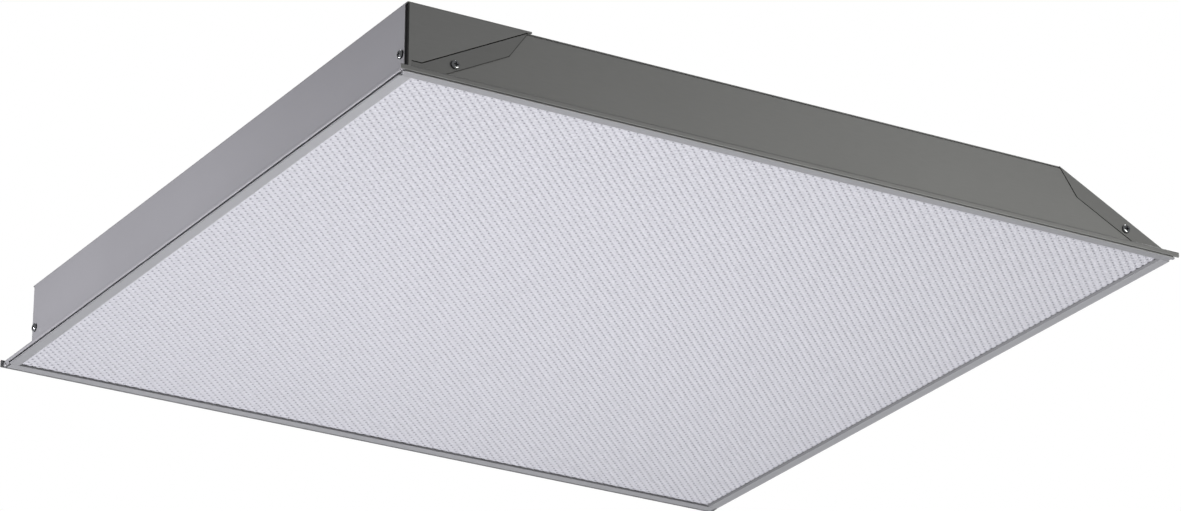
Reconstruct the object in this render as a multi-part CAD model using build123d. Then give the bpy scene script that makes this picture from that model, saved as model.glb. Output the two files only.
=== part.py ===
from build123d import *
import os
from math import atan2, cos, radians, sin, sqrt, tan

# Recessed troffer light, nominal 2 x 2 ft, lying on its flange as it lies in a ceiling grid.
# Origin: centre of the flange's underside. +Z up, +X along the front face, +Y towards the rear.
# All sizes are in millimetres.

# ---- Housing: sheet steel ----
flange_length = 603.0        # over the ends of the front and rear lips
flange_depth = 603.0         # from the front lip's face to the rear lip's face
side_setback = 2.5           # side lips stand this far inside the ends of the front and rear lips
sheet = 0.7                  # thickness of all the folded sheet steel
bend_radius = 0.8            # inside radius of the folds
lap_gap = 0.05               # between sheets that lie on each other
fit_gap = 0.1                # between sheets that meet edge to face
lip_height = 5.2             # underside of the fitting to the top of the flange
lip_rise = 1.3               # front lip ends this far above the fitting's underside
side_lip_rise = 2.0          # side lips do too
lip_thickness = 1.4          # the lip is hemmed, two sheets thick
lip_rounding = 0.6           # hem's rounded lower edge
rear_lip_rounding = 0.25
flange_width = 5.0           # from the lip's outer face to the wall that rises from the flange
pan_height = 49.5            # top of the pan
slope_inset = 92.0           # side lip's outer face to the fold between sloped side and top
plate_top_flange = 12.0      # end plate's flange under the pan's top
plate_top_bend = 0.2         # inside radius of that fold
hanger_hole_radius = 2.75
hanger_from_fold = 27.0      # hanger holes in the pan's top
hanger_from_lip = 61.5

# ---- Tabs that fold from the sloped sides over the end plates ----
tab_width = 11.2             # square to the slope
tab_chamfer_run = 14.0       # the tab's upper end is cut back over this run
toe_inset = 7.5              # from the side lip's face to the toe of the wiring side's front tab
toe_height = 10.2
screw_head_radius = 3.0
screw_head_height = 1.8
screw_head_rounding = 1.1
screw_shank_radius = 1.6
screw_length = 8.0
screw_recess_width = 0.9
screw_recess_length = 3.4
screw_recess_depth = 1.2
screw_hole_gap = 0.1         # round each screw's shank
tab_screw_inset = 38.5       # from the side lip's face
tab_screw_drop = 7.6         # below the slope's fold

# ---- Wiring compartment on the -X slope ----
cover_setback = 3.0          # side lip's outer face to the cover's outer wall
cover_short = 40.0           # rear lip's face to the compartment's rear end
cover_overlap = 2.5          # cover's hem over the pan's top
hem_width = 7.5
hem_rounding = 0.63
ear_bend = 0.8               # inside radius of the folds between the ends and their ears
ear_width = 14.0             # folded ear behind the cover's outer wall
ear_short = 2.0              # the ear ends this far from the flange and the cover's top
corner_seam_x = 1.3          # open seam: cover's outer face to the end wall's flat face
corner_seam_y = 1.8          # end wall's face to the cover wall's edge
end_gap = 0.7                # between the end walls and the slope
cover_screw_inset = 6.5      # from the compartment's end
cover_screw_height = 16.0
knockout_radius = 11.1       # half-inch trade size, 22.2 mm across
knockout_from_cover = 25.0   # cover's outer wall to the knockout's centre
knockout_height = 36.0

# ---- Lens frame, hinged at the rear ----
door_gap = 0.55              # between the lip and the frame's outer edge
bead_radius = 1.5            # round outer edge of the frame bars, concentric with the hinge
heel_rounding = 0.4          # lower outer edge of the rear rail
bar_height = 2.8
rebate_inset = 5.75          # lips' faces to the wall beside the lens
ledge_thickness = 1.2        # part of the bar that the lens lies on
edge_thickness = 0.9         # flat edge of the front rail and the stiles, under the lips
edge_setback = 0.3           # lip's outer face to that edge
edge_rounding = 0.35
edge_corner = 2.0            # front rail's rounded corners
edge_gap = 0.5               # rear end of the stiles' flat edge to the hinge ear
front_reach = 7.4            # lips' faces to the frame's inner edge, seen from below
rear_reach = 10.0
side_reach = 7.8
stile_bevel = 2.0            # stiles lean in towards the lens over this run
butt_gap = 0.1               # between the stiles and the rails
key_leg = 32.0               # corner key inside the bars
key_width = 2.0
key_inset = 6.1              # lips' faces to the key's middle
key_thickness = 0.6
key_gap = 0.05
lens_thickness = 2.4
lens_end_inset = 6.3         # front and rear lips' faces to the lens's edge
lens_side_inset = 6.2        # side lips' faces to the lens's edge
clip_thickness = 0.4
clip_width = 12.0
clip_spacing = 200.0
clip_hold = 4.6              # clip's reach over the lens
clip_root = 0.9              # depth of the clip's slot in the rail
slot_gap = 0.05
pin_radius = 1.0
pin_depth = 10.0             # inside the rail's bead
pin_running_gap = 0.05
pin_head_radius = 1.4
pin_head_height = 0.6

# ---- Catches on the front end plate ----
catch_spacing = 300.0
strike_thickness = 0.8
strike_width = 12.0
strike_from_lens = 0.4       # lens notch round the strike plate
strike_inset = 6.2           # front lip's face to the strike plate
strike_root = 1.0
keeper_radius = 1.5
keeper_seat = 0.3            # keeper bar let into the strike plate
keeper_height = 16.0
nose_radius = 3.0
nose_angle = 56.0            # line from nose to keeper where they touch, off the upright
nose_gap = 0.3               # between nose and keeper with the frame closed
nose_guide = 0.1             # round the plunger in its bore
nose_setback = 0.6           # nose's centre behind the body's front face
guide_length = 4.0
catch_travel = 1.6
plunger_collar = 0.7
collar_thickness = 1.2
collar_gap = 0.05
spring_room = 6.2
spring_wire = 0.35           # radius of the spring's wire
spring_turns = 4
catch_wall = 1.5
catch_width = 12.0
catch_below = 5.2            # nose's centre to the body's underside
catch_above = 6.0
bracket_sheet = 1.0
bracket_rise = 13.0
catch_screw_radius = 1.2
catch_screw_length = 4.0

# ---- LED boards under the pan's top ----
board_spacing = 140.0
board_width = 24.0
board_from_plate = 4.5       # board's end to the end plate's top flange
board_thickness = 1.6
led_size = 3.0
led_height = 0.8
led_lens_radius = 1.1
led_lens_height = 0.3
led_pitch = 19.5
led_front_room = 46.0        # board's front end to the first LED
led_rear_room = 26.0         # least room behind the last one
rivet_radius = 1.5
rivet_gap = 0.1
rivet_head_radius = 3.0
rivet_head_height = 1.2
rivet_head_rounding = 0.72
rivet_tail_radius = 2.3
rivet_tail_height = 0.8
rivet_offset = 8.0           # beside the LED row
rivet_from_end = 40.0
connector_length = 12.0
connector_width = 10.0
connector_height = 4.6
connector_inset = 14.0       # board's front end to the connector's middle

# ---- LED driver on the -X slope, inside the compartment ----
driver_foot = 15.0           # slope's lower fold to the driver's lower edge, up the slope
driver_width = 36.0
driver_height = 22.0
driver_length = 280.0
driver_from_rear = 123.5     # compartment's rear end to the driver's end cap
driver_base_sheet = 1.2
driver_base_ear = 16.0
driver_cap = 8.0
driver_rounding = 1.5
driver_screw_inset = 7.0

# ---- Leads, grommet and terminal block ----
lead_radius = 0.9
lead_bend = 5.0
lead_spacing = 2.6
lead_gap = 0.05              # a lead's end stands this far off its terminal
grommet_up = 72.0            # up the slope
grommet_from_driver = 40.0   # along Y, in front of the driver's cap
grommet_hole_radius = 6.35
grommet_groove = 0.05
grommet_flange = 1.8         # wider than its hole
grommet_lip = 1.2
grommet_bore_radius = 4.2
block_up = 20.0
block_width = 26.0
block_height = 15.0
block_length = 20.0
block_from_driver = 36.0
block_rounding = 1.0
block_ear = 8.0
block_ear_height = 3.0
ground_up = 70.0
ground_from_block = 14.0
ground_run = 6.0             # straight end of the ground lead
ground_washer_radius = 4.5
ground_washer_height = 0.8

# ---- Levels and places worked out from the sizes ----
half_length = flange_length / 2
half_depth = flange_depth / 2
side_lip = half_length - side_setback
flange_under = lip_height - sheet
slope_foot = side_lip - flange_width
slope_top = side_lip - slope_inset
slope_angle = atan2(pan_height - lip_height, slope_foot - slope_top)
slope_shift = sheet / sin(slope_angle)
wall_face = half_depth - flange_width
tab_face = wall_face + sheet
pan_under = pan_height - sheet
plate_top = pan_under - lap_gap
cover_wall = side_lip - cover_setback
cover_top = pan_height + 2 * sheet + fit_gap
compartment_rear = half_depth - cover_short
hanger_hole_x = slope_top - hanger_from_fold
hanger_hole_y = half_depth - hanger_from_lip
bar_outer_y = half_depth - lip_thickness - door_gap
bar_outer_x = side_lip - lip_thickness - door_gap
bead_y = bar_outer_y - bead_radius
bead_x = bar_outer_x - bead_radius
bead_z = bead_radius
front_inner = half_depth - front_reach
rear_inner = half_depth - rear_reach
stile_inner = side_lip - side_reach
lens_under = ledge_thickness
lens_top = lens_under + lens_thickness
lens_half_y = half_depth - lens_end_inset
lens_half_x = side_lip - lens_side_inset
strike_face = half_depth - strike_inset - strike_thickness
keeper_y = strike_face - (keeper_radius - keeper_seat)
reach_sum = keeper_radius + nose_radius
nose_lag = reach_sum * sin(radians(nose_angle))
nose_drop = sqrt((reach_sum + nose_gap) ** 2 - nose_lag ** 2)
nose_y = keeper_y - nose_lag
nose_z = keeper_height - nose_drop
catch_front = nose_y + nose_setback
catch_shoulder = catch_front - guide_length
catch_chamber = catch_shoulder - collar_thickness - catch_travel - collar_gap - spring_room
catch_back = catch_chamber - catch_wall
catch_floor = nose_z - catch_below
catch_roof = nose_z + catch_above
driver_shift = compartment_rear - driver_from_rear - driver_cap - driver_length / 2
driver_front = driver_shift - driver_length / 2 - driver_cap
driver_rear = driver_shift + driver_length / 2 + driver_cap
grommet_y = driver_front - grommet_from_driver
block_y = driver_rear + block_from_driver
ground_y = block_y + block_length / 2 + ground_from_block
board_length = 2 * (wall_face - plate_top_flange - board_from_plate)
rivet_spacing = board_length / 2 - rivet_from_end
led_count = int((board_length - led_front_room - led_rear_room) / led_pitch) + 1
connector_y = -board_length / 2 + connector_inset
connector_z = pan_under - board_thickness - connector_height / 2
board_places = [-board_spacing, 0.0, board_spacing]

slope_plane = Plane(
    origin=(-slope_foot, 0, lip_height),
    x_dir=(cos(slope_angle), 0, sin(slope_angle)),
    z_dir=(-sin(slope_angle), 0, cos(slope_angle)),
)


# ---- Shapes that several pieces share ----
def block(x_low, x_high, y_low, y_high, z_low, z_high):
    """Box between two corners."""
    middle = ((x_low + x_high) / 2, (y_low + y_high) / 2, (z_low + z_high) / 2)
    return Pos(*middle) * Box(x_high - x_low, y_high - y_low, z_high - z_low)


def along_y(section, y_low, y_high):
    """Extrude a section drawn as (x, z) from one Y to another."""
    placed = Plane(origin=(0, y_low, 0), x_dir=(1, 0, 0), z_dir=(0, -1, 0)) * section
    return extrude(placed, amount=y_high - y_low, dir=(0, 1, 0))


def along_x(section, x_low, x_high):
    """Extrude a section drawn as (y, z) from one X to another."""
    placed = Plane(origin=(x_low, 0, 0), x_dir=(0, 1, 0), z_dir=(1, 0, 0)) * section
    return extrude(placed, amount=x_high - x_low, dir=(1, 0, 0))


def moved_right(path, distance):
    """Copy of an open path, moved to the right of its direction, with mitred corners."""
    normals = []
    for start, end in zip(path, path[1:]):
        step = Vector(*end) - Vector(*start)
        normals.append(Vector(step.Y, -step.X).normalized())
    moved = [Vector(*path[0]) + normals[0] * distance]
    for corner, before, after in zip(path[1:], normals, normals[1:]):
        mitre = (before + after) * (distance / (1 + before.dot(after)))
        moved.append(Vector(*corner) + mitre)
    moved.append(Vector(*path[-1]) + normals[-1] * distance)
    return [(point.X, point.Y) for point in moved]


def folded(path, thickness, *inside_radii):
    """Section of a folded sheet that lies to the right of its path, one radius for each fold."""
    far_path = moved_right(path, thickness)
    if len(inside_radii) == 1:
        inside_radii = inside_radii * (len(path) - 2)
    near_radii = []
    far_radii = []
    for before, corner, after, inside_radius in zip(path, path[1:], path[2:], inside_radii):
        first = Vector(*corner) - Vector(*before)
        second = Vector(*after) - Vector(*corner)
        turns_right = first.X * second.Y - first.Y * second.X < 0
        near_radii.append(inside_radius + thickness if turns_right else inside_radius)
        far_radii.append(inside_radius if turns_right else inside_radius + thickness)
    near = FilletPolyline(*path, radius=near_radii)
    far = FilletPolyline(*far_path, radius=far_radii)
    ends = [Line(path[0], far_path[0]).edge(), Line(path[-1], far_path[-1]).edge()]
    return make_face(near.edges() + far.edges() + ends)


def polygon(*points):
    """Flat face inside a closed run of points."""
    return make_face(Polyline(*points, close=True).edges())


def rod(start, direction, radius, length):
    """Round bar from a point along a direction."""
    axis = Plane(origin=start, z_dir=direction)
    return axis * Cylinder(radius, length, align=(Align.CENTER, Align.CENTER, Align.MIN))


def pan_head_screw(seat, direction, length=screw_length, shank=screw_shank_radius):
    """Cross-recessed pan-head screw whose head sits on a face and whose shank points back."""
    scale_of_head = shank / screw_shank_radius
    radius = screw_head_radius * scale_of_head
    height = screw_head_height * scale_of_head
    base = Align.CENTER, Align.CENTER, Align.MIN
    head = Cylinder(radius, height, align=base)
    head = fillet(head.edges().group_by(Axis.Z)[-1], screw_head_rounding * scale_of_head)
    arm = screw_recess_length * scale_of_head
    width = screw_recess_width * scale_of_head
    depth = screw_recess_depth * scale_of_head
    recess = Box(arm, width, depth, align=base) + Box(width, arm, depth, align=base)
    head -= Pos(0, 0, height - depth) * recess
    body = Cylinder(shank, length, align=(Align.CENTER, Align.CENTER, Align.MAX))
    return Plane(origin=seat, z_dir=direction) * (head + body)


def lead(points, radius=lead_radius):
    """Insulated wire along straight runs joined by round bends."""
    route = FilletPolyline(*points, radius=lead_bend)
    start = Plane(origin=route @ 0, z_dir=route % 0)
    return sweep(start * Circle(radius), path=route)


def on_slope(up, y, out):
    """Point at a distance up the -X slope, at a Y, and a distance out from its face."""
    return slope_plane.from_local_coords(Vector(up, y, out))


def slope_height(inset):
    """Height of the slope's outer face at a distance inside the side lip's face."""
    return lip_height + (inset - flange_width) * tan(slope_angle)


def save(name, *solids):
    """Write one node."""
    shape = solids[0] if len(solids) == 1 else Compound(children=list(solids))
    export_step(shape, f"parts/{name}.step")


os.makedirs("parts", exist_ok=True)

# ---- Places that several pieces share ----
tab_drop = tab_width / cos(slope_angle)
tab_foot = lip_height + bend_radius + fit_gap
tab_screw_z = slope_height(tab_screw_inset) - tab_screw_drop
tab_screw_places = [
    (x_side * (side_lip - tab_screw_inset), y_side * tab_face, tab_screw_z, y_side)
    for x_side in (-1, 1)
    for y_side in (-1, 1)
]
cover_screw_places = [-tab_face + cover_screw_inset, compartment_rear - cover_screw_inset]
driver_screw_places = [
    driver_shift + end * (driver_length / 2 + driver_cap + driver_base_ear - driver_screw_inset)
    for end in (-1, 1)
]
rivet_places = [
    (x + rivet_offset, y) for x in board_places for y in (-rivet_spacing, 0.0, rivet_spacing)
]
clip_places = [-clip_spacing, 0.0, clip_spacing]
catch_places = [-catch_spacing / 2, catch_spacing / 2]
driver_middle = driver_foot + driver_width / 2
block_middle = block_up + block_width / 2
block_screw_y = block_y + block_length / 2 + block_ear / 2


# ---- Housing pan ----
def tab_outline(x_side, with_toe):
    """Tab below the slope's fold, from the flange to the pan's top."""
    chamfer_start = slope_inset - tab_chamfer_run
    foot_run = (tab_foot + tab_drop - lip_height) / tan(slope_angle)
    points = [
        (flange_width + (tab_foot - lip_height) / tan(slope_angle), tab_foot),
        (flange_width + foot_run, tab_foot),
        (chamfer_start, slope_height(chamfer_start) - tab_drop),
        (slope_inset, pan_height),
    ]
    outline = polygon(*[(x_side * (side_lip - inset), z) for inset, z in points])
    if with_toe:
        toe_end = flange_width + (toe_height - lip_height) / tan(slope_angle)
        toe = [(toe_inset, tab_foot), (toe_inset, toe_height), (toe_end, toe_height),
               (toe_end + tab_drop, tab_foot)]
        outline += polygon(*[(x_side * (side_lip - inset), z) for inset, z in toe])
    return outline


def hemmed_lip(outer, low, rounding):
    """Section of a lip, two sheets thick, that hangs from a flange's outer edge."""
    inner = outer - lip_thickness
    strip = polygon((inner, low), (outer, low), (outer, lip_height), (inner, lip_height))
    strip = fillet(strip.vertices().group_by(Axis.Y)[0], rounding)
    top_corner = strip.vertices().group_by(Axis.Y)[-1].sort_by(Axis.X)[-1]
    return fillet(top_corner, bend_radius + sheet / 2)


side_lip_middle = (lip_height + side_lip_rise) / 2
pan_path = [
    (-side_lip, side_lip_middle), (-side_lip, lip_height), (-slope_foot, lip_height),
    (-slope_top, pan_height), (slope_top, pan_height), (slope_foot, lip_height),
    (side_lip, lip_height), (side_lip, side_lip_middle),
]
pan = along_y(folded(pan_path, sheet, bend_radius), -tab_face, tab_face)
for y in (-tab_face, tab_face):
    pan -= block(-slope_top, slope_top, y - sheet, y + sheet, pan_under - sheet,
                 pan_height + sheet)
side_length = half_depth - lip_thickness - fit_gap
ear_start = rear_inner - butt_gap + edge_gap
side_lip_bar = along_y(hemmed_lip(side_lip, side_lip_rise, lip_rounding),
                       -side_length, ear_start)
side_lip_bar += along_y(hemmed_lip(side_lip, 0, rear_lip_rounding), ear_start, side_length)
side_shelf = block(slope_foot, side_lip - lip_thickness / 2, -side_length, side_length,
                   flange_under, lip_height)
side_edge = side_lip_bar + side_shelf
pan += side_edge
pan += mirror(side_edge, about=Plane.YZ)
pan -= rod((-half_length, bead_y, bead_z), (1, 0, 0), pin_radius + lap_gap, flange_length)
for x_side in (-1, 1):
    for y_side in (-1, 1):
        face = tab_outline(x_side, with_toe=x_side < 0 and y_side < 0)
        low, high = sorted((y_side * wall_face, y_side * tab_face))
        pan += along_y(face, low, high)
for x, y, z, y_side in tab_screw_places:
    pan -= rod((x, y + y_side * sheet, z), (0, -y_side, 0),
               screw_shank_radius + screw_hole_gap, 3 * sheet)
for x in (-hanger_hole_x, hanger_hole_x):
    for y in (-hanger_hole_y, hanger_hole_y):
        pan -= rod((x, y, pan_under - sheet), (0, 0, 1), hanger_hole_radius, 3 * sheet)
for x, y in rivet_places:
    pan -= rod((x, y, pan_under - sheet), (0, 0, 1), rivet_radius + rivet_gap, 3 * sheet)
slope_out = slope_plane.z_dir
for y in driver_screw_places:
    pan -= rod(on_slope(driver_middle, y, -2 * sheet), slope_out,
               screw_shank_radius + screw_hole_gap, 3 * sheet)
for up, y in ((block_middle, block_screw_y), (ground_up, ground_y)):
    pan -= rod(on_slope(up, y, -2 * sheet), slope_out,
               screw_shank_radius + screw_hole_gap, 3 * sheet)
pan -= rod(on_slope(grommet_up, grommet_y, -2 * sheet), slope_out, grommet_hole_radius, 3 * sheet)
save("housing_pan", pan)


# ---- End plates: one folded sheet each, cut to the pan's sloped sides ----
def inside_slope(z):
    """Half width between the pan's sloped sides at a height."""
    return slope_foot - (z - lip_height) / tan(slope_angle) - slope_shift - fit_gap


plate_path = [
    (-half_depth, (lip_height + lip_rise) / 2), (-half_depth, lip_height), (-wall_face, lip_height),
    (-wall_face, plate_top), (-wall_face + plate_top_flange, plate_top),
]
foot_width = inside_slope(lip_height)
head_width = inside_slope(pan_under)
trapezoid = polygon(
    (-foot_width, 0), (foot_width, 0), (foot_width, lip_height), (head_width, pan_under),
    (-head_width, pan_under), (-foot_width, lip_height),
)
plate = along_x(folded(plate_path, sheet, bend_radius, bend_radius, plate_top_bend),
                -foot_width, foot_width)
plate &= along_y(trapezoid, -half_depth, 0)
for x, y, z, y_side in tab_screw_places:
    if y_side < 0:
        plate -= rod((x, y, z), (0, 1, 0), screw_shank_radius + screw_hole_gap, 3 * sheet)
front_lip = along_x(hemmed_lip(half_depth, lip_rise, lip_rounding), -half_length, half_length)
rear_lip = along_x(hemmed_lip(half_depth, 0, rear_lip_rounding), -half_length, half_length)
save("front_end_plate", plate + mirror(front_lip, about=Plane.XZ))
save("rear_end_plate", mirror(plate, about=Plane.XZ) + rear_lip)
save("tab_screws", *[
    pan_head_screw((x, y, z), (0, y_side, 0)) for x, y, z, y_side in tab_screw_places
])

# ---- Wiring compartment: cover and two triangular ends ----
hem_edge = slope_top - cover_overlap
cover_path = [
    (-cover_wall, lip_height + fit_gap), (-cover_wall, cover_top),
    (-hem_edge - sheet, cover_top),
]
wall_front = -tab_face + corner_seam_y
wall_rear = compartment_rear - corner_seam_y
cover = along_y(folded(cover_path, sheet, bend_radius), -tab_face, compartment_rear)
for low, high in ((-tab_face, wall_front), (wall_rear, compartment_rear)):
    cover -= block(-cover_wall, -cover_wall + sheet, low, high, 0, cover_top - sheet - bend_radius)
hem = polygon(
    (-hem_edge - hem_width, cover_top - 2 * sheet), (-hem_edge, cover_top - 2 * sheet),
    (-hem_edge, cover_top), (-hem_edge - hem_width, cover_top),
)
hem = fillet(hem.vertices().group_by(Axis.X)[-1], hem_rounding)
cover += along_y(hem, -tab_face, compartment_rear)
for y in cover_screw_places:
    cover -= rod((-cover_wall - sheet, y, cover_screw_height), (1, 0, 0),
                 screw_shank_radius + screw_hole_gap, 3 * sheet)
save("driver_compartment_cover", cover)


def compartment_end(face_y, inward):
    """Triangular end wall, with an ear folded in behind the cover's outer wall."""
    wall_edge = -cover_wall + corner_seam_x
    ear_face = -cover_wall + sheet + lap_gap
    foot = lip_height + fit_gap
    roof = cover_top - sheet - fit_gap
    outline = polygon((wall_edge, foot), (-slope_top, foot), (-slope_top, roof),
                      (wall_edge, roof))
    rise = end_gap / cos(slope_angle)
    outline -= polygon((-slope_foot, lip_height + rise), (-slope_top, pan_height + rise),
                       (-slope_top, 0), (-slope_foot, 0))
    low_y, high_y = sorted((face_y, face_y + inward * sheet))
    wall = along_y(outline, low_y, high_y)
    wall -= block(-hem_edge - hem_width - fit_gap, 0, low_y, high_y,
                  cover_top - 2 * sheet - fit_gap, cover_top)
    plan = [(ear_face, face_y + inward * ear_width), (ear_face, face_y),
            (wall_edge + sheet + ear_bend, face_y)]
    if inward < 0:
        plan = plan[::-1]
    ear = folded(plan[::-1], sheet, ear_bend)
    ear_height = cover_top - sheet - lip_height - 2 * ear_short
    ear = Pos(0, 0, lip_height + ear_short) * extrude(ear, amount=ear_height, dir=(0, 0, 1))
    return wall + ear


front_end = compartment_end(-tab_face, 1)
front_end -= block(-side_lip + toe_inset - fit_gap, -slope_top, -half_depth, -wall_face + fit_gap,
                   0, toe_height + end_gap)
rear_end = compartment_end(compartment_rear, -1)
screw_holes = [
    rod((-cover_wall - sheet, y, cover_screw_height), (1, 0, 0),
        screw_shank_radius + screw_hole_gap, 5 * sheet)
    for y in cover_screw_places
]
front_end -= screw_holes[0]
rear_end -= screw_holes[1]
knockout_x = -cover_wall + knockout_from_cover
rear_end -= rod((knockout_x, compartment_rear - 2 * sheet, knockout_height), (0, 1, 0),
                knockout_radius, 3 * sheet)
save("front_compartment_end", front_end)
save("rear_compartment_end", rear_end)
save("cover_screws", *[
    pan_head_screw((-cover_wall, y, cover_screw_height), (-1, 0, 0)) for y in cover_screw_places
])


# ---- Lens frame: rails run full width, stiles stand between them ----
def bead_and_bar(centre, rebate, inner, outer_side, bevel):
    """Frame bar's section: round outer edge, bar, and a ledge whose edge is upright or leans in."""
    bar = polygon(*[
        (outer_side * across, z)
        for across, z in (
            (centre, 0), (inner, 0), (inner - bevel, ledge_thickness),
            (rebate, ledge_thickness), (rebate, bar_height), (centre, bar_height),
        )
    ])
    return bar + Pos(outer_side * centre, bead_z) * Circle(bead_radius)


def flat_edge(lip_face, centre, outer_side):
    """Section of the bar's flat edge, which reaches out under the lip."""
    outer = lip_face - edge_setback
    strip = polygon((outer_side * centre, 0), (outer_side * outer, 0),
                    (outer_side * outer, edge_thickness), (outer_side * centre, edge_thickness))
    tips = [point for point in strip.vertices() if abs(point.X) > centre + edge_rounding]
    return fillet(tips, edge_rounding)


def corner_key(x_side, y_side, grow):
    """L-shaped flat key inside a rail and a stile."""
    key_x = side_lip - key_inset
    key_y = half_depth - key_inset
    low = (ledge_thickness - key_thickness) / 2 - grow
    high = (ledge_thickness + key_thickness) / 2 + grow
    half = key_width / 2 + grow
    leg_x = block(key_x - key_leg - grow, key_x + half, key_y - half, key_y + half, low, high)
    leg_y = block(key_x - half, key_x + half, key_y - key_leg - grow, key_y + half, low, high)
    key = leg_x + leg_y
    if x_side < 0:
        key = mirror(key, about=Plane.YZ)
    if y_side < 0:
        key = mirror(key, about=Plane.XZ)
    return key


corners = [(x_side, y_side) for x_side in (-1, 1) for y_side in (-1, 1)]
rebate_y = half_depth - rebate_inset
clip_outer = (rebate_y + lens_half_y + clip_thickness) / 2
clip_inner = clip_outer - clip_thickness


def rail(y_side, inner):
    """Rail with slots for the lens clips and pockets for the corner keys."""
    section = bead_and_bar(bead_y, rebate_y, inner, y_side, 0)
    bar = along_x(section, -bar_outer_x, bar_outer_x)
    for x in clip_places:
        low, high = sorted((y_side * (clip_inner - slot_gap), y_side * (clip_outer + slot_gap)))
        bar -= block(x - clip_width / 2 - slot_gap, x + clip_width / 2 + slot_gap, low, high,
                     lens_under - clip_root, lens_under + clip_root)
    for x_side in (-1, 1):
        bar -= corner_key(x_side, y_side, key_gap)
    return bar


front_rail = rail(-1, front_inner)
edge_front = -half_depth + edge_setback
edge_plan = polygon((-side_lip, -bead_y), (side_lip, -bead_y), (side_lip, edge_front),
                    (-side_lip, edge_front))
edge_plan = fillet(edge_plan.vertices().group_by(Axis.Y)[0], edge_corner)
front_edge = extrude(edge_plan, amount=edge_thickness, dir=(0, 0, 1))
levels = front_edge.edges().group_by(Axis.Z)
rims = [
    edge for edge in levels[0] + levels[-1] if edge.center().Y < -bead_y - edge_rounding
]
front_rail += fillet(rims, edge_rounding)
for x in catch_places:
    front_rail -= block(
        x - strike_width / 2 - slot_gap, x + strike_width / 2 + slot_gap,
        -strike_face - strike_thickness - slot_gap, -strike_face + slot_gap,
        lens_under - strike_root, lens_under + strike_root,
    )
rear_rail = rail(1, rear_inner)
heel = polygon((bead_y, 0), (bar_outer_y, 0), (bar_outer_y, bead_z), (bead_y, bead_z))
heel = fillet(heel.vertices().group_by(Axis.X)[-1].group_by(Axis.Y)[0], heel_rounding)
rear_rail += along_x(heel, -bar_outer_x, bar_outer_x)
for x_side in (-1, 1):
    rear_rail -= rod((x_side * bar_outer_x, bead_y, bead_z), (-x_side, 0, 0),
                     pin_radius + pin_running_gap, pin_depth + fit_gap)
save("front_rail", front_rail)
save("rear_rail", rear_rail)
stile_front = -front_inner + butt_gap
stile_rear = rear_inner - butt_gap
for name, x_side in (("left_stile", -1), ("right_stile", 1)):
    section = bead_and_bar(bead_x, side_lip - rebate_inset, stile_inner, x_side, stile_bevel)
    section += flat_edge(side_lip, bead_x, x_side)
    stile = along_y(section, stile_front, stile_rear)
    for y_side in (-1, 1):
        stile -= corner_key(x_side, y_side, key_gap)
    save(name, stile)
save("frame_corner_keys", *[corner_key(x_side, y_side, 0) for x_side, y_side in corners])
hinge_pins = []
for x_side in (-1, 1):
    shank = rod((x_side * side_lip, bead_y, bead_z), (-x_side, 0, 0), pin_radius,
                side_lip - bar_outer_x + pin_depth)
    head = rod((x_side * side_lip, bead_y, bead_z), (x_side, 0, 0), pin_head_radius,
               pin_head_height)
    hinge_pins.append(shank + head)
save("hinge_pins", *hinge_pins)

# ---- Prismatic lens: a plate that lies on the frame, notched round the strike plates ----
lens = block(-lens_half_x, lens_half_x, -lens_half_y, lens_half_y, lens_under, lens_top)
for x in catch_places:
    lens -= block(
        x - strike_width / 2 - strike_from_lens, x + strike_width / 2 + strike_from_lens,
        -lens_half_y - strike_thickness, -strike_face + strike_from_lens,
        0, lens_top + lens_thickness,
    )
save("prismatic_lens", lens)
lens_clips = []
for y_side in (-1, 1):
    clip_section = polygon(
        (y_side * clip_outer, lens_under - clip_root),
        (y_side * clip_outer, lens_top + clip_thickness),
        (y_side * (clip_outer - clip_hold), lens_top + clip_thickness),
        (y_side * (clip_outer - clip_hold), lens_top),
        (y_side * clip_inner, lens_top),
        (y_side * clip_inner, lens_under - clip_root),
    )
    for x in clip_places:
        lens_clips.append(along_x(clip_section, x - clip_width / 2, x + clip_width / 2))
save("lens_clips", *lens_clips)

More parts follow.
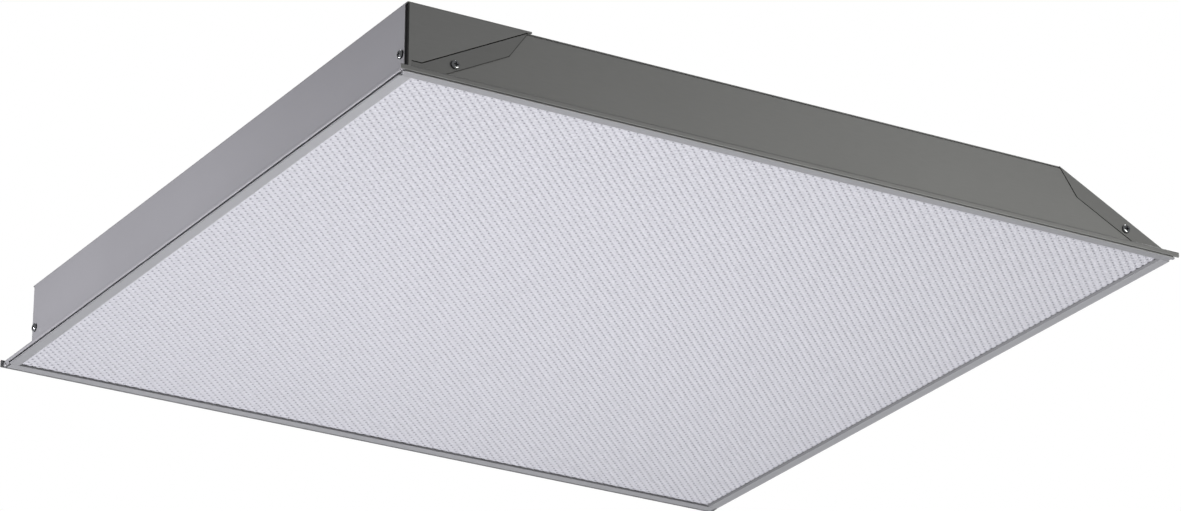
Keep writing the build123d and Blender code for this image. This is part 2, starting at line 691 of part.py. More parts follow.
# ---- Catches: sprung round-nosed plungers over the front rail's keeper bars ----
strikes = []
keepers = []
brackets = []
bodies = []
springs = []
catch_screws = []
plungers = []
screw_y = -(catch_chamber + catch_shoulder) / 2
for x in catch_places:
    keeper = rod((x - strike_width / 2, -keeper_y, keeper_height), (1, 0, 0),
                 keeper_radius, strike_width)
    plate = block(x - strike_width / 2, x + strike_width / 2,
                  -strike_face - strike_thickness, -strike_face,
                  lens_under - strike_root, keeper_height + keeper_radius)
    strikes.append(plate - keeper)
    keepers.append(keeper)
    shelf_path = [
        (-catch_back, catch_roof), (-wall_face + sheet, catch_roof),
        (-wall_face + sheet, catch_roof + bracket_rise),
    ]
    bracket = along_x(folded(shelf_path, bracket_sheet, bend_radius),
                      x - catch_width / 2, x + catch_width / 2)
    bracket -= rod((x, screw_y, catch_roof - bracket_sheet), (0, 0, 1),
                   catch_screw_radius + screw_hole_gap, 3 * bracket_sheet)
    brackets.append(bracket)
    body = block(x - catch_width / 2, x + catch_width / 2, -catch_front, -catch_back,
                 catch_floor, catch_roof)
    body -= rod((x, -catch_front - nose_setback, nose_z), (0, 1, 0),
                nose_radius + nose_guide, guide_length + 2 * nose_setback)
    body -= rod((x, -catch_shoulder, nose_z), (0, 1, 0),
                nose_radius + plunger_collar + nose_guide, catch_shoulder - catch_chamber)
    pilot_depth = catch_roof - nose_z - nose_radius - plunger_collar - 2 * nose_guide
    body -= rod((x, screw_y, catch_roof + fit_gap), (0, 0, -1),
                catch_screw_radius + lap_gap, min(catch_screw_length, pilot_depth))
    bodies.append(body)
    catch_screws.append(pan_head_screw(
        (x, screw_y, catch_roof + bracket_sheet), (0, 0, 1),
        min(catch_screw_length, pilot_depth) + bracket_sheet - 2 * fit_gap, catch_screw_radius,
    ))
    collar_front = -catch_shoulder + collar_gap
    plunger = Pos(x, -nose_y, nose_z) * Sphere(nose_radius)
    plunger += rod((x, -nose_y, nose_z), (0, 1, 0), nose_radius,
                   nose_y + collar_front + collar_thickness)
    plunger += rod((x, collar_front, nose_z), (0, 1, 0), nose_radius + plunger_collar,
                   collar_thickness)
    plungers.append(plunger)
    coil_height = spring_room - 2 * spring_wire - 2 * fit_gap
    coil = Helix(coil_height / spring_turns, coil_height, nose_radius - spring_wire)
    wire = sweep(Plane(origin=coil @ 0, z_dir=coil % 0) * Circle(spring_wire), path=coil)
    spring_axis = Plane(origin=(x, -catch_chamber - spring_wire - fit_gap, nose_z),
                        z_dir=(0, -1, 0))
    springs.append(spring_axis * wire)
save("strike_plates", *strikes)
save("keeper_bars", *keepers)
save("catch_brackets", *brackets)
save("catch_bodies", *bodies)
save("catch_springs", *springs)
save("catch_screws", *catch_screws)
save("catch_plunger_left", plungers[0])
save("catch_plunger_right", plungers[1])

# ---- LED boards, riveted to the underside of the pan's top ----
board_under = pan_under - board_thickness
for name, x in zip(("left", "centre", "right"), board_places):
    board = block(x - board_width / 2, x + board_width / 2, -board_length / 2,
                  board_length / 2, board_under, pan_under)
    for rivet_x, y in rivet_places:
        if abs(rivet_x - x) < board_width:
            board -= rod((rivet_x, y, board_under - sheet), (0, 0, 1),
                         rivet_radius + rivet_gap, board_thickness + 2 * sheet)
    save(f"led_board_{name}", board)
    packages = []
    for index in range(led_count):
        y = -board_length / 2 + led_front_room + index * led_pitch
        chip = block(x - led_size / 2, x + led_size / 2, y - led_size / 2, y + led_size / 2,
                     board_under - led_height, board_under)
        chip += rod((x, y, board_under - led_height), (0, 0, -1), led_lens_radius,
                    led_lens_height)
        packages.append(chip)
    save(f"led_packages_{name}", *packages)
rivets = []
for x, y in rivet_places:
    rivet = rod((x, y, board_under - rivet_head_height), (0, 0, 1), rivet_head_radius,
                rivet_head_height)
    rivet = fillet(rivet.edges().group_by(Axis.Z)[0], rivet_head_rounding)
    rivet += rod((x, y, board_under), (0, 0, 1), rivet_radius, board_thickness + sheet)
    rivet += rod((x, y, pan_height), (0, 0, 1), rivet_tail_radius, rivet_tail_height)
    rivets.append(rivet)
save("board_rivets", *rivets)
connectors = []
for x in board_places:
    shell = block(x - connector_length / 2, x + connector_length / 2,
                  connector_y - connector_width / 2, connector_y + connector_width / 2,
                  connector_z - connector_height / 2, board_under)
    connectors.append(fillet(shell.edges().group_by(Axis.Z)[0], driver_rounding / 2))
save("board_connectors", *connectors)


# ---- LED driver ----
def slope_block(up_low, up_high, y_low, y_high, out_low, out_high):
    """Box set square on the -X slope."""
    return slope_plane * block(up_low, up_high, y_low, y_high, out_low, out_high)


driver_high = driver_foot + driver_width
base_half = driver_length / 2 + driver_cap + driver_base_ear
driver_base = slope_block(driver_foot, driver_high, driver_shift - base_half,
                          driver_shift + base_half, 0, driver_base_sheet)
for y in driver_screw_places:
    driver_base -= rod(on_slope(driver_middle, y, -sheet), slope_out,
                       screw_shank_radius + screw_hole_gap, driver_base_sheet + 2 * sheet)
save("driver_base", driver_base)


def driver_shell(y_low, y_high):
    """Stretch of the driver's case, with its two upper edges rounded."""
    section = polygon(
        (driver_foot, driver_base_sheet), (driver_high, driver_base_sheet),
        (driver_high, driver_height), (driver_foot, driver_height),
    )
    section = fillet(section.vertices().group_by(Axis.Y)[-1], driver_rounding)
    return slope_plane * along_y(section, y_low, y_high)


save("driver_case", driver_shell(driver_shift - driver_length / 2,
                                 driver_shift + driver_length / 2))
save("driver_end_caps",
     driver_shell(driver_front, driver_front + driver_cap),
     driver_shell(driver_rear - driver_cap, driver_rear))
save("driver_screws", *[
    pan_head_screw(on_slope(driver_middle, y, driver_base_sheet), slope_out)
    for y in driver_screw_places
])

# ---- Grommet in the slope, and the low-voltage leads through it ----
groove_radius = grommet_hole_radius - grommet_groove
ring_radius = grommet_hole_radius + grommet_flange
grommet = rod(on_slope(grommet_up, grommet_y, 0), slope_out, ring_radius, grommet_lip)
grommet += rod(on_slope(grommet_up, grommet_y, -sheet), -slope_out, ring_radius, grommet_lip)
grommet += rod(on_slope(grommet_up, grommet_y, -sheet), slope_out, groove_radius, sheet)
grommet -= rod(on_slope(grommet_up, grommet_y, -2 * grommet_lip - sheet), slope_out,
               grommet_bore_radius, 5 * grommet_lip)
save("lead_grommet", grommet)
output_leads = []
lead_out = driver_height / 2
for side in (-0.5, 0.5):
    across = side * lead_spacing
    start = on_slope(driver_middle + across, driver_front - lead_gap, lead_out)
    run_out = on_slope(driver_middle + across, driver_front - grommet_from_driver / 2, lead_out)
    over = on_slope(grommet_up, grommet_y + across, grommet_lip + 2 * lead_bend)
    under = on_slope(grommet_up, grommet_y + across, -3 * lead_bend)
    near_plug = Vector(-board_spacing - connector_length / 2 - 5 * lead_bend,
                       connector_y + across, connector_z)
    plug = Vector(-board_spacing - connector_length / 2 - lead_gap,
                  connector_y + across, connector_z)
    output_leads.append(lead([start, run_out, over, under, near_plug, plug]))
save("output_leads", *output_leads)
jumpers = []
for x in board_places[:-1]:
    for side in (-0.5, 0.5):
        y = connector_y + side * lead_spacing
        first = x + connector_length / 2 + lead_gap
        last = x + board_spacing - connector_length / 2 - lead_gap
        raised = board_under - lead_radius + board_thickness / 2
        quarter = (last - first) / 4
        jumpers.append(lead([
            (first, y, connector_z), (first + quarter, y, raised),
            (last - quarter, y, raised), (last, y, connector_z),
        ]))
save("board_jumpers", *jumpers)

# ---- Mains terminal block, its leads and the ground screw ----
terminal_block = slope_block(block_up, block_up + block_width, block_y - block_length / 2,
                             block_y + block_length / 2, 0, block_height)
terminal_block = fillet(terminal_block.edges().filter_by(Axis.Y), block_rounding / 2)
terminal_block += slope_block(block_middle - block_ear, block_middle + block_ear,
                              block_y + block_length / 2 - block_rounding,
                              block_y + block_length / 2 + block_ear, 0, block_ear_height)
terminal_block -= rod(on_slope(block_middle, block_screw_y, -sheet), slope_out,
                      screw_shank_radius + screw_hole_gap, block_ear_height + 2 * sheet)
for index in (-1, 0, 1):
    entry_up = block_middle + index * block_width / 4
    terminal_block -= rod(on_slope(entry_up, block_y - block_length, block_height / 2),
                          (0, 1, 0), lead_radius + slot_gap, block_length / 2 + lead_bend)
    terminal_block -= rod(on_slope(entry_up, block_y + block_length, block_height / 2),
                          (0, -1, 0), lead_radius + slot_gap, block_length / 2 + lead_bend)
save("terminal_block", terminal_block)
save("terminal_block_screw",
     pan_head_screw(on_slope(block_middle, block_screw_y, block_ear_height), slope_out))
mains_leads = []
mains_run = block_y - block_length / 2 - driver_rear
for index in (-1, 0, 1):
    entry_up = block_middle + index * block_width / 4
    exit_up = driver_middle + index * lead_spacing
    mains_leads.append(lead([
        on_slope(exit_up, driver_rear + lead_gap, lead_out),
        on_slope(exit_up, driver_rear + mains_run / 3, lead_out),
        on_slope(entry_up, driver_rear + 2 * mains_run / 3, block_height / 2),
        on_slope(entry_up, block_y - block_length / 2 + lead_bend / 2, block_height / 2),
    ]))
save("mains_leads", *mains_leads)
ground_lead_up = block_middle + block_width / 4
save("ground_lead", lead([
    on_slope(ground_lead_up, block_y + block_length / 2 - lead_bend / 2, block_height / 2),
    on_slope(ground_lead_up, ground_y, block_height / 2),
    on_slope(ground_up - ground_washer_radius - ground_run, ground_y, lead_radius + lap_gap),
    on_slope(ground_up - ground_washer_radius - lead_gap, ground_y, lead_radius + lap_gap),
]))
washer = rod(on_slope(ground_up, ground_y, 0), slope_out, ground_washer_radius,
             ground_washer_height)
washer -= rod(on_slope(ground_up, ground_y, -sheet), slope_out,
              screw_shank_radius + screw_hole_gap, ground_washer_height + 2 * sheet)
save("ground_washer", washer)
save("ground_screw",
     pan_head_screw(on_slope(ground_up, ground_y, ground_washer_height), slope_out))
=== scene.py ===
import math
import bmesh
import bpy
from mathutils import Euler, Matrix, Vector


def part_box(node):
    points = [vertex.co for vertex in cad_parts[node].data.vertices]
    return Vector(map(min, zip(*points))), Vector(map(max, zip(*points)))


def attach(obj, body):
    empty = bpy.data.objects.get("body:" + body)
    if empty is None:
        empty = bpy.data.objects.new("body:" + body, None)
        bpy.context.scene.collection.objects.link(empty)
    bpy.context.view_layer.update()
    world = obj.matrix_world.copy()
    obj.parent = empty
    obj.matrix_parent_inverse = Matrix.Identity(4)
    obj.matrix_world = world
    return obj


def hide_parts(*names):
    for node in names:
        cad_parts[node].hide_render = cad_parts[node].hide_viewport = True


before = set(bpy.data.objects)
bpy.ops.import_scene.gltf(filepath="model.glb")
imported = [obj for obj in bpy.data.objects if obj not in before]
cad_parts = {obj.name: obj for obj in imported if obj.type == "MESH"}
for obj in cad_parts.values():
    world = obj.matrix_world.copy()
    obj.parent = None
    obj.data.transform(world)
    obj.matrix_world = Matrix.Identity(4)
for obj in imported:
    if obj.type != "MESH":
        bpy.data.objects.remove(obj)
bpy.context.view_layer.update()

# ---- Camera ----
# The light hangs above the camera, seen from below and to the corner that has the wiring
# compartment. The lens is long, so the sides stay nearly parallel.
camera_data = bpy.data.cameras.new("camera")
camera_data.sensor_fit = "HORIZONTAL"
camera_data.sensor_width = 36.0
camera_data.lens = 159.2
camera_data.clip_end = 400.0
camera = bpy.data.objects.new("camera", camera_data)
camera.location = (-1.7055, -2.9362, -1.3544)
camera_tilt = (112.396, -0.279, -30.463)
camera.rotation_euler = Euler([math.radians(angle) for angle in camera_tilt])
bpy.context.collection.objects.link(camera)
bpy.context.scene.camera = camera
bpy.context.scene.view_settings.view_transform = "Standard"


# ---- Room ----
# The surround is white to the camera and lights the object softly. The wide floor far below is
# white to the camera too, and clear from underneath, so that it never hides the light fitting.
def blended(tree, share, first, second):
    """Mixes two shaders by the share of the second one."""
    blend = tree.nodes.new("ShaderNodeMixShader")
    tree.links.new(share, blend.inputs["Fac"])
    tree.links.new(first, blend.inputs[1])
    tree.links.new(second, blend.inputs[2])
    return blend.outputs["Shader"]


white = (1.0, 1.0, 1.0, 1.0)
world = bpy.data.worlds.new("surround")
bpy.context.scene.world = world
world.use_nodes = True
surround = world.node_tree
surround.nodes.clear()
seen = surround.nodes.new("ShaderNodeBackground")
seen.inputs["Color"].default_value = white
seen.inputs["Strength"].default_value = 1.0
soft = surround.nodes.new("ShaderNodeBackground")
soft.inputs["Color"].default_value = (0.96, 0.97, 1.0, 1.0)
soft.inputs["Strength"].default_value = 0.18
ray = surround.nodes.new("ShaderNodeLightPath")
either = surround.nodes.new("ShaderNodeMath")
either.operation = "MAXIMUM"
surround.links.new(ray.outputs["Is Camera Ray"], either.inputs[0])
surround.links.new(ray.outputs["Is Transmission Ray"], either.inputs[1])
sky = surround.nodes.new("ShaderNodeOutputWorld")
sky_light = blended(surround, either.outputs[0], soft.outputs[0], seen.outputs[0])
surround.links.new(sky_light, sky.inputs["Surface"])

floor_height = -9.5
floor_half_width = 120.0
floor_mesh = bpy.data.meshes.new("floor")
floor_shape = bmesh.new()
bmesh.ops.create_grid(floor_shape, x_segments=1, y_segments=1, size=floor_half_width,
                      matrix=Matrix.Translation((0, 0, floor_height)))
floor_shape.to_mesh(floor_mesh)
floor_shape.free()
floor = bpy.data.objects.new("floor", floor_mesh)
bpy.context.collection.objects.link(floor)
floor_finish = bpy.data.materials.new("pale_floor")
floor_finish.use_nodes = True
floor_tree = floor_finish.node_tree
floor_paint = floor_tree.nodes["Principled BSDF"]
floor_paint.inputs["Base Color"].default_value = (0.86, 0.86, 0.86, 1.0)
floor_paint.inputs["Roughness"].default_value = 0.9
floor_glow = floor_tree.nodes.new("ShaderNodeEmission")
floor_glow.inputs["Color"].default_value = white
floor_ray = floor_tree.nodes.new("ShaderNodeLightPath")
floor_side = floor_tree.nodes.new("ShaderNodeNewGeometry")
floor_clear = floor_tree.nodes.new("ShaderNodeBsdfTransparent")
floor_top = blended(floor_tree, floor_ray.outputs["Is Camera Ray"], floor_paint.outputs["BSDF"],
                    floor_glow.outputs["Emission"])
floor_faces = blended(floor_tree, floor_side.outputs["Backfacing"], floor_top,
                      floor_clear.outputs["BSDF"])
floor_tree.links.new(floor_faces, floor_tree.nodes["Material Output"].inputs["Surface"])
floor_mesh.materials.append(floor_finish)


# ---- Lamps ----
# Soft square lamps. The small one level with the lens lights the compartment's wall, the low one
# the lens, and a weak one the front, which stays in half shade. The last two light the top.
def soft_lamp(name, place, size, power, colour=(1.0, 1.0, 1.0)):
    """Square area lamp that faces the light fitting."""
    data = bpy.data.lights.new(name, "AREA")
    data.color = colour
    data.size = size
    data.energy = power
    lamp = bpy.data.objects.new(name, data)
    lamp.location = place
    lamp.rotation_euler = (-Vector(place)).to_track_quat("-Z", "Y").to_euler()
    bpy.context.collection.objects.link(lamp)


soft_lamp("side_lamp", (-1.45, 0.85, 0.06), size=0.2, power=22.8, colour=(1.0, 0.98, 1.06))
soft_lamp("front_lamp", (0.46, -1.2, -0.1), size=0.6, power=6.0, colour=(1.0, 1.0, 0.93))
soft_lamp("low_lamp", (-0.22, 0.0, -1.25), size=1.0, power=18.0, colour=(1.0, 0.99, 1.04))
soft_lamp("top_lamp", (1.0, 1.2, 3.6), size=2.4, power=170.0)
soft_lamp("back_lamp", (2.6, 3.0, 0.8), size=2.0, power=90.0)


# ---- Housing: pan, end plates and wiring cover ----
# Folded from galvanised sheet and left a plain satin grey. The pan's tabs lap the end plates, and
# the cover and its two ends close the compartment on the left slope.
def grained(name, colour, spread, metallic, roughness, grain, relief, stretch=(1.0, 1.0, 1.0)):
    """Finish with a fine stretched grain, cloudy tone and uneven gloss, in real sizes."""
    clouds_per_metre = 9.0
    grain_share = 0.45
    noise_low, noise_high = 0.3, 0.7
    gloss_spread = 0.08
    relief_strength = 0.6
    finish = bpy.data.materials.new(name)
    finish.use_nodes = True
    tree = finish.node_tree
    shader = tree.nodes["Principled BSDF"]
    place = tree.nodes.new("ShaderNodeTexCoord")
    drawn_out = tree.nodes.new("ShaderNodeMapping")
    drawn_out.inputs["Scale"].default_value = stretch
    tree.links.new(place.outputs["Object"], drawn_out.inputs["Vector"])
    fine = tree.nodes.new("ShaderNodeTexNoise")
    fine.inputs["Scale"].default_value = 1.0 / grain
    fine.inputs["Detail"].default_value = 4.0
    tree.links.new(drawn_out.outputs["Vector"], fine.inputs["Vector"])
    cloud = tree.nodes.new("ShaderNodeTexNoise")
    cloud.inputs["Scale"].default_value = clouds_per_metre
    cloud.inputs["Detail"].default_value = 3.0
    tree.links.new(place.outputs["Object"], cloud.inputs["Vector"])
    both = tree.nodes.new("ShaderNodeMix")
    both.data_type = "FLOAT"
    both.inputs["Factor"].default_value = grain_share
    tree.links.new(cloud.outputs["Fac"], both.inputs["A"])
    tree.links.new(fine.outputs["Fac"], both.inputs["B"])
    tone = tree.nodes.new("ShaderNodeMapRange")
    tone.inputs["From Min"].default_value = noise_low
    tone.inputs["From Max"].default_value = noise_high
    tone.inputs["To Min"].default_value = 1.0 - spread
    tone.inputs["To Max"].default_value = 1.0 + spread
    tree.links.new(both.outputs["Result"], tone.inputs["Value"])
    paint = tree.nodes.new("ShaderNodeMix")
    paint.data_type = "RGBA"
    paint.blend_type = "MULTIPLY"
    paint.inputs["Factor"].default_value = 1.0
    paint.inputs["A"].default_value = (*colour, 1.0)
    tree.links.new(tone.outputs["Result"], paint.inputs["B"])
    tree.links.new(paint.outputs["Result"], shader.inputs["Base Color"])
    gloss = tree.nodes.new("ShaderNodeMapRange")
    gloss.inputs["To Min"].default_value = roughness - gloss_spread
    gloss.inputs["To Max"].default_value = roughness + gloss_spread
    tree.links.new(fine.outputs["Fac"], gloss.inputs["Value"])
    tree.links.new(gloss.outputs["Result"], shader.inputs["Roughness"])
    bumps = tree.nodes.new("ShaderNodeBump")
    bumps.inputs["Distance"].default_value = relief
    bumps.inputs["Strength"].default_value = relief_strength
    tree.links.new(fine.outputs["Fac"], bumps.inputs["Height"])
    tree.links.new(bumps.outputs["Normal"], shader.inputs["Normal"])
    shader.inputs["Metallic"].default_value = metallic
    return finish


def banded(finish, name, tint, *bands):
    """Copy of a finish, tinted where a place lies between two values along each direction."""
    finish = finish.copy()
    finish.name = name
    tree = finish.node_tree
    shader = tree.nodes["Principled BSDF"]
    paint = shader.inputs["Base Color"].links[0].from_socket
    place = tree.nodes.new("ShaderNodeTexCoord")
    stain = tree.nodes.new("ShaderNodeMix")
    stain.data_type = "RGBA"
    stain.blend_type = "MULTIPLY"
    stain.inputs["B"].default_value = (tint, tint, tint, 1.0)
    share = None
    for direction, low, high in bands:
        along = tree.nodes.new("ShaderNodeVectorMath")
        along.operation = "DOT_PRODUCT"
        along.inputs[1].default_value = direction
        tree.links.new(place.outputs["Object"], along.inputs[0])
        inside = tree.nodes.new("ShaderNodeMath")
        inside.operation = "COMPARE"
        tree.links.new(along.outputs["Value"], inside.inputs[0])
        inside.inputs[1].default_value = (low + high) / 2
        inside.inputs[2].default_value = (high - low) / 2
        if share is None:
            share = inside
        else:
            joined = tree.nodes.new("ShaderNodeMath")
            joined.operation = "MULTIPLY"
            tree.links.new(share.outputs["Value"], joined.inputs[0])
            tree.links.new(inside.outputs["Value"], joined.inputs[1])
            share = joined
    tree.links.new(share.outputs["Value"], stain.inputs["Factor"])
    tree.links.new(paint, stain.inputs["A"])
    tree.links.new(stain.outputs["Result"], shader.inputs["Base Color"])
    return finish


def dress(finish, *names):
    """Gives CAD nodes a finish."""
    for name in names:
        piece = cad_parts[name]
        piece.data.materials.clear()
        piece.data.materials.append(finish)


housing_steel = grained("housing_steel", (0.235, 0.235, 0.238), spread=0.05, metallic=0.35,
                        roughness=0.48, grain=0.0012, relief=0.00002, stretch=(0.12, 1.0, 1.0))
along_x = (1.0, 0.0, 0.0)
along_y = (0.0, 1.0, 0.0)
along_z = (0.0, 0.0, 1.0)
tab_face = (along_y, -0.2974, -0.2966)
tab_thickness = (along_y, -0.29712, -0.29655)
tab_long_edge = ((0.4537, 0.0, -0.8912), -0.12742, -0.12675)
tab_end_edge = ((0.8151, 0.0, -0.5794), -0.19800, -0.19733)
lip_highlight_band = (along_z, 0.0018, 0.0050)
corner_seam_shadow = (along_x, -0.2953, -0.2938)
# Painted shadow: the sheet's edge faces just in front of the end plates, the tabs' edges among
# them, are painted near black as a shadow line.
edge_shadow_steel = banded(housing_steel, "housing_edge_shadow", 0.15, tab_thickness)
tab_steel = banded(edge_shadow_steel, "housing_tab_steel", 0.84, tab_face)
# Painted shadow: a thin dark line on each tab's face along its long lower edge and along its end
# edge.
tab_shadow_line = banded(tab_steel, "housing_tab_shadow_line", 0.40, tab_face, tab_long_edge)
tab_end_shadow_line = banded(tab_shadow_line, "housing_tab_end_shadow_line", 0.40, tab_face, tab_end_edge)
# Painted highlight: the pan's lip is painted lighter between 1.8 and 5 mm up, for the light its
# rounded hem catches.
pan_steel = banded(tab_end_shadow_line, "housing_pan_steel", 1.12, lip_highlight_band)
# Painted shadow: a near-black stripe down the front compartment end at its corner with the cover,
# for the shade in the open seam.
end_steel = banded(edge_shadow_steel, "compartment_end_steel", 0.10, corner_seam_shadow)
dress(housing_steel, "front_end_plate", "rear_end_plate", "driver_compartment_cover",
      "rear_compartment_end")
dress(pan_steel, "housing_pan")
dress(end_steel, "front_compartment_end")

# ---- Screws ----
# Bright zinc-plated pan-head screws hold the tabs, the cover, the driver and the terminal block,
# with a dark line of shade under the outer heads. The ground screw is lacquered green.
under_tab_heads = (along_y, -0.2979, -0.2971)
under_cover_heads = (along_x, -0.2967, -0.2959)
bright_zinc = grained("bright_zinc", (0.50, 0.51, 0.52), spread=0.06, metallic=1.0,
                      roughness=0.14, grain=0.0008, relief=0.00001)
front_zinc = banded(bright_zinc, "tab_screw_zinc", 0.10, under_tab_heads)
cover_zinc = banded(bright_zinc, "cover_screw_zinc", 0.10, under_cover_heads)
green_zinc = grained("green_lacquer", (0.03, 0.22, 0.06), spread=0.08, metallic=0.3,
                     roughness=0.35, grain=0.0008, relief=0.00001)
dress(bright_zinc, "driver_screws", "terminal_block_screw", "catch_screws", "ground_washer")
dress(front_zinc, "tab_screws")
dress(cover_zinc, "cover_screws")
dress(green_zinc, "ground_screw")

# ---- Lens frame ----
# Two rails with round outer edges and two stiles that lean in towards the lens, in satin
# aluminium, keyed together at the corners. Each bar has a band of shade, the front one all over.
frame_aluminium = grained("frame_aluminium", (0.385, 0.388, 0.395), spread=0.04, metallic=0.2,
                          roughness=0.58, grain=0.0006, relief=0.00001, stretch=(0.1, 0.1, 1.0))
for bar, tint, band in (
    ("front_rail", 0.86, (along_y, -0.3020, -0.2890)),
    ("rear_rail", 0.40, (along_y, 0.29140, 0.29158)),
    ("left_stile", 0.60, (along_x, -0.2990, -0.2982)),
    ("right_stile", 0.55, (along_x, 0.2890, 0.2911)),
):
    dress(banded(frame_aluminium, f"{bar}_aluminium", tint, band), bar)

# ---- Keys, pins, clips and catch brackets ----
# Plain rolled and drawn steel: the keys inside the frame's corners, the riveted hinge pins, the
# lens clips, and the strike plates, keeper bars, brackets and springs of the catches.
plain_steel = grained("plain_steel", (0.55, 0.55, 0.55), spread=0.06, metallic=1.0,
                      roughness=0.34, grain=0.0008, relief=0.00001, stretch=(0.3, 1.0, 1.0))
dress(plain_steel, "frame_corner_keys", "hinge_pins", "lens_clips", "strike_plates",
      "keeper_bars", "catch_brackets", "catch_springs")


# ---- Prismatic lens ----
# One sheet of acrylic that lies on the frame, moulded underneath with small square pyramids set
# at 45 degrees to its edges, and notched round the two strike plates.
def on_front_strip(face, x, half_width, y_limit):
    """Whether a face's middle lies near a place along the sheet's front edge."""
    middle = face.calc_center_median()
    return abs(middle.x - x) < half_width and middle.y < y_limit


lens_low, lens_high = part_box("prismatic_lens")
prism_pitch = 0.00476
prism_depth = 0.0007
prism_turn = math.radians(45)
longest_slope = 0.8 * prism_pitch
cut_tolerance = 1e-7
sheet = bmesh.new()
reach = math.hypot(lens_high[0], lens_high[1]) + prism_pitch
cells_across = int(2 * reach / prism_pitch)
sheet_place = Matrix.Translation((0, 0, lens_low[2] + prism_depth))
bmesh.ops.create_grid(sheet, x_segments=cells_across, y_segments=cells_across,
                      size=cells_across * prism_pitch / 2,
                      matrix=sheet_place @ Matrix.Rotation(prism_turn, 4, "Z"))
far_out = [
    face for face in sheet.faces
    if abs(face.calc_center_median().x) > lens_high[0] + prism_pitch
    or abs(face.calc_center_median().y) > lens_high[1] + prism_pitch
]
bmesh.ops.delete(sheet, geom=far_out, context="FACES")
bmesh.ops.poke(sheet, faces=sheet.faces[:], offset=0.0, center_mode="MEAN")
for corner in sheet.verts:
    inner = all(len(edge.link_faces) == 2 for edge in corner.link_edges)
    if inner and len(corner.link_faces) == 4:
        if max(edge.calc_length() for edge in corner.link_edges) < longest_slope:
            corner.co.z -= prism_depth
lens_sides = (
    ((lens_low[0], 0, 0), (-1, 0, 0)), ((lens_high[0], 0, 0), (1, 0, 0)),
    ((0, lens_low[1], 0), (0, -1, 0)), ((0, lens_high[1], 0), (0, 1, 0)),
)
for place, side in lens_sides:
    everything = sheet.verts[:] + sheet.edges[:] + sheet.faces[:]
    bmesh.ops.bisect_plane(sheet, geom=everything, plane_co=place, plane_no=side,
                           clear_outer=True, dist=cut_tolerance)

notch_places = (-0.150, 0.150)
notch_half_width = 0.0064
notch_depth = 0.0011
notch_end = lens_low[1] + notch_depth
cut_half_width = notch_half_width + 2 * prism_pitch
cut_end = lens_low[1] + 3 * prism_pitch
for x in notch_places:
    for place, side in (
        ((x - notch_half_width, 0, 0), (1, 0, 0)), ((x + notch_half_width, 0, 0), (1, 0, 0)),
        ((0, notch_end, 0), (0, 1, 0)),
    ):
        close = [face for face in sheet.faces if on_front_strip(face, x, cut_half_width, cut_end)]
        edges = dict.fromkeys(edge for face in close for edge in face.edges)
        corners = dict.fromkeys(corner for face in close for corner in face.verts)
        bmesh.ops.bisect_plane(sheet, geom=[*corners, *edges, *close],
                               plane_co=place, plane_no=side, dist=cut_tolerance)
    notch = [face for face in sheet.faces if on_front_strip(face, x, notch_half_width, notch_end)]
    bmesh.ops.delete(sheet, geom=notch, context="FACES")

rim = [edge for edge in sheet.edges if edge.is_boundary]
walls = bmesh.ops.extrude_edge_only(sheet, edges=rim)
for part in walls["geom"]:
    if isinstance(part, bmesh.types.BMVert):
        part.co.z = lens_high[2]
top_rim = [edge for edge in sheet.edges if edge.is_boundary]
bmesh.ops.edgeloop_fill(sheet, edges=top_rim)
bmesh.ops.recalc_face_normals(sheet, faces=sheet.faces[:])
bmesh.ops.triangulate(sheet, faces=[face for face in sheet.faces if len(face.verts) > 4])
lens_mesh = bpy.data.meshes.new("prismatic_sheet")
sheet.to_mesh(lens_mesh)
sheet.free()
prismatic_sheet = bpy.data.objects.new("prismatic_sheet", lens_mesh)
bpy.context.collection.objects.link(prismatic_sheet)

# Unlit, the acrylic looks a solid pale white that hides the boards. Each pyramid has a painted
# dark dot,
# in the same turned square cells: painted shade for the dark spots the real prisms show by
# refraction.
dot_shade_colour = (0.25, 0.25, 0.28, 1.0)
dot_shade_edge = 0.11
slope_colour = (0.62, 0.62, 0.65, 1.0)
slope_edge = 0.21
acrylic = bpy.data.materials.new("prismatic_acrylic")
acrylic.use_nodes = True
acrylic_tree = acrylic.node_tree
acrylic_shader = acrylic_tree.nodes["Principled BSDF"]
acrylic_shader.inputs["Roughness"].default_value = 0.34
acrylic_shader.inputs["IOR"].default_value = 1.49
acrylic_place = acrylic_tree.nodes.new("ShaderNodeTexCoord")
acrylic_turn = acrylic_tree.nodes.new("ShaderNodeMapping")
acrylic_turn.vector_type = "TEXTURE"
acrylic_turn.inputs["Rotation"].default_value = (0.0, 0.0, prism_turn)
acrylic_turn.inputs["Scale"].default_value = (prism_pitch, prism_pitch, prism_pitch)
prism_cell = acrylic_tree.nodes.new("ShaderNodeTexVoronoi")
prism_cell.voronoi_dimensions = "2D"
prism_cell.inputs["Scale"].default_value = 1.0
prism_cell.inputs["Randomness"].default_value = 0.0
prism_tone = acrylic_tree.nodes.new("ShaderNodeValToRGB")
dot_shade_stop, slope_stop = prism_tone.color_ramp.elements
dot_shade_stop.position, dot_shade_stop.color = dot_shade_edge, dot_shade_colour
slope_stop.position, slope_stop.color = slope_edge, slope_colour
acrylic_tree.links.new(acrylic_place.outputs["Object"], acrylic_turn.inputs["Vector"])
acrylic_tree.links.new(acrylic_turn.outputs["Vector"], prism_cell.inputs["Vector"])
acrylic_tree.links.new(prism_cell.outputs["Distance"], prism_tone.inputs["Fac"])
acrylic_tree.links.new(prism_tone.outputs["Color"], acrylic_shader.inputs["Base Color"])
lens_mesh.materials.append(acrylic)
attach(prismatic_sheet, "door")
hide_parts("prismatic_lens")

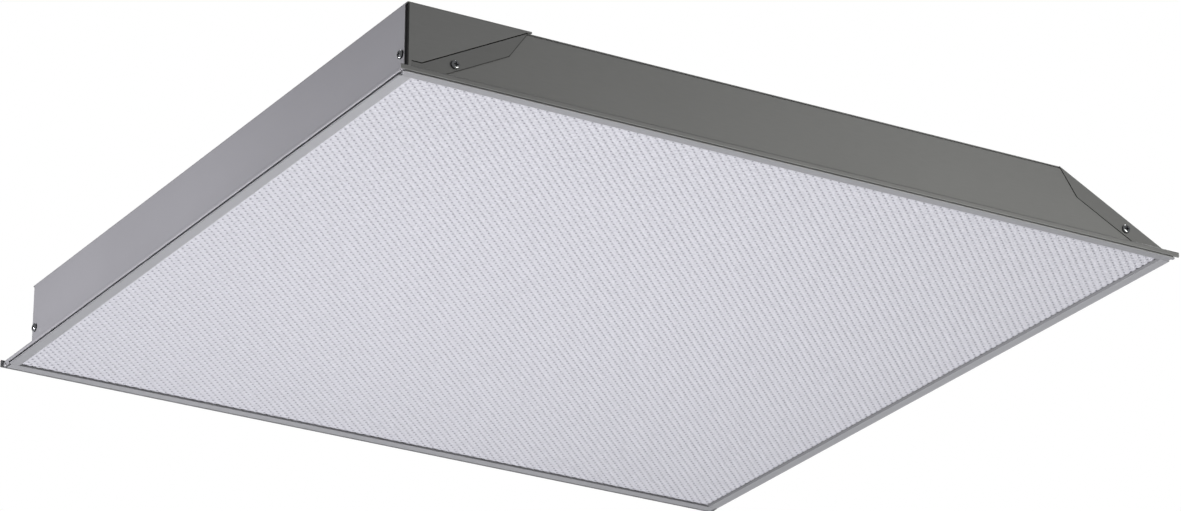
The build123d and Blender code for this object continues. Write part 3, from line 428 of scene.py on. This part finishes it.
# ---- Catches ----
# Round-nosed plungers of natural acetal slide in black moulded bodies, which are screwed to the
# brackets on the front end plate.
black_plastic = grained("black_plastic", (0.02, 0.02, 0.021), spread=0.2, metallic=0.0,
                        roughness=0.5, grain=0.0005, relief=0.00003)
natural_acetal = grained("natural_acetal", (0.78, 0.78, 0.75), spread=0.03, metallic=0.0,
                         roughness=0.35, grain=0.001, relief=0.00001)
dress(black_plastic, "catch_bodies")
dress(natural_acetal, "catch_plunger_left", "catch_plunger_right")

# ---- LED boards ----
# Three aluminium strips with a white mask and a row of soldered LED packages, riveted in nylon
# under the pan's top, with a moulded connector for the leads.
board_mask = grained("board_mask", (0.80, 0.80, 0.78), spread=0.03, metallic=0.0,
                     roughness=0.4, grain=0.001, relief=0.00001)
phosphor = grained("phosphor", (0.72, 0.55, 0.10), spread=0.06, metallic=0.0,
                   roughness=0.4, grain=0.0005, relief=0.00001)
for side in ("left", "centre", "right"):
    dress(board_mask, f"led_board_{side}")
    dress(phosphor, f"led_packages_{side}")
dress(natural_acetal, "board_connectors", "board_rivets")

# ---- Driver, terminal block and leads ----
# White-enamelled driver with plastic end caps, screwed to the left slope beside a moulded terminal
# block. The leads are plain insulated wire, and a rubber grommet guards them in the slope's hole.
white_enamel = grained("white_enamel", (0.68, 0.68, 0.67), spread=0.03, metallic=0.1,
                       roughness=0.35, grain=0.001, relief=0.00002)
block_plastic = grained("block_plastic", (0.66, 0.62, 0.52), spread=0.05, metallic=0.0,
                        roughness=0.5, grain=0.0006, relief=0.00003)
red_sleeve = grained("red_sleeve", (0.35, 0.02, 0.02), spread=0.08, metallic=0.0,
                     roughness=0.35, grain=0.002, relief=0.00001)
white_sleeve = grained("white_sleeve", (0.70, 0.70, 0.68), spread=0.05, metallic=0.0,
                       roughness=0.35, grain=0.002, relief=0.00001)
green_sleeve = grained("green_sleeve", (0.03, 0.22, 0.06), spread=0.08, metallic=0.0,
                       roughness=0.35, grain=0.002, relief=0.00001)
dress(white_enamel, "driver_base", "driver_case")
dress(black_plastic, "driver_end_caps", "lead_grommet")
dress(block_plastic, "terminal_block")
dress(red_sleeve, "output_leads", "mains_leads")
dress(white_sleeve, "board_jumpers")
dress(green_sleeve, "ground_lead")
